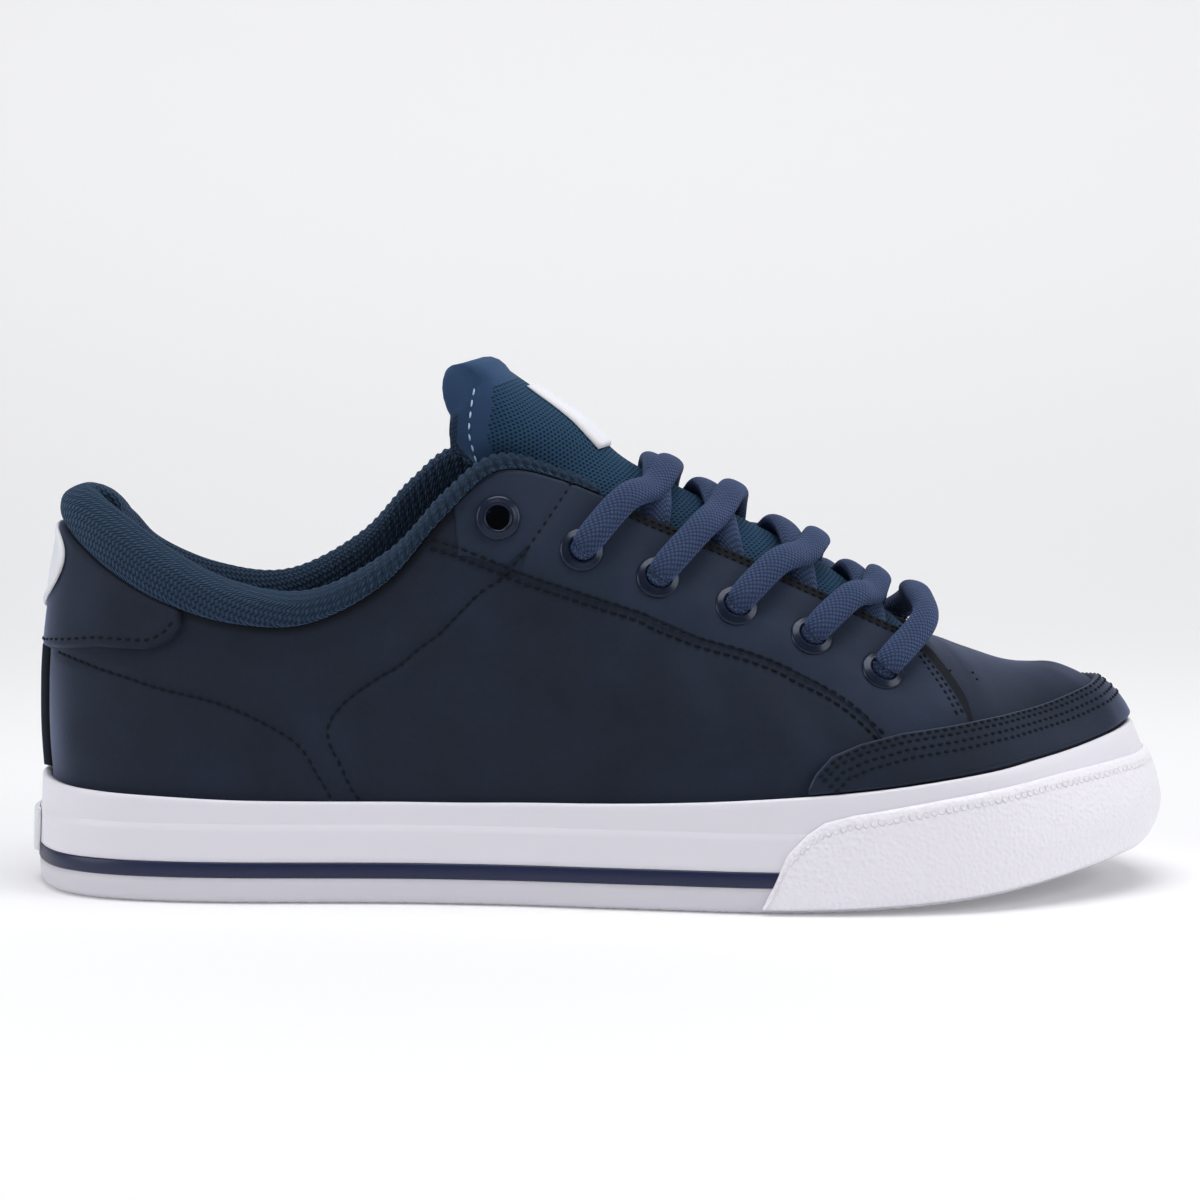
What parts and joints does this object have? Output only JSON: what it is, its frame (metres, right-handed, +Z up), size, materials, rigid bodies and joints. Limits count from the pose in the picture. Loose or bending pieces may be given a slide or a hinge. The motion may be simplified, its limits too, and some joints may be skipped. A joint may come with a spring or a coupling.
{
  "type": "skateboarding shoe",
  "caption": "Low lace-up skateboarding shoe for the right foot: hollow upper with toe cap and padded collar on a flat cup sole with a toe bumper.",
  "frame": {"origin": "on the ground, under the middle of the heel seat", "axes": "+X towards the toe, +Y towards the inner (medial) side, +Z up"},
  "size_m": [0.294, 0.1111, 0.1345],
  "materials": {
    "white_rubber": "satin white vulcanised rubber",
    "grained_rubber": "white rubber with a fine moulded pebble grain",
    "navy_rubber": "dark navy rubber",
    "nubuck": "matt navy synthetic nubuck",
    "knit": "navy knitted lining over foam",
    "mesh": "navy spacer mesh over foam",
    "label": "plain white woven label",
    "eyelet": "dark navy lacquered ring",
    "lace": "navy woven flat-oval polyester lace"
  },
  "bodies": {
    "root": {"outsole": "white_rubber", "foxing_stripe": "navy_rubber", "midsole_cup": "white_rubber", "toe_bumper": "grained_rubber", "heel_label": "label", "insole": "knit", "upper": "nubuck", "toe_cap": "nubuck", "heel_patch": "nubuck", "back_strip": "nubuck", "eyestay_lateral": "nubuck", "eyestay_medial": "nubuck", "heel_badge": "label", "collar": "knit", "tongue": "mesh", "tongue_label": "label", "eyelet_lateral_1": "eyelet", "eyelet_lateral_2": "eyelet", "eyelet_lateral_3": "eyelet", "eyelet_lateral_4": "eyelet", "eyelet_lateral_5": "eyelet", "eyelet_lateral_6": "eyelet", "eyelet_medial_1": "eyelet", "eyelet_medial_2": "eyelet", "eyelet_medial_3": "eyelet", "eyelet_medial_4": "eyelet", "eyelet_medial_5": "eyelet", "eyelet_medial_6": "eyelet", "lace_cross_1": "lace", "lace_cross_2": "lace", "lace_cross_3": "lace", "lace_cross_4": "lace", "lace_bar": "lace"}
  },
  "joints": []
}
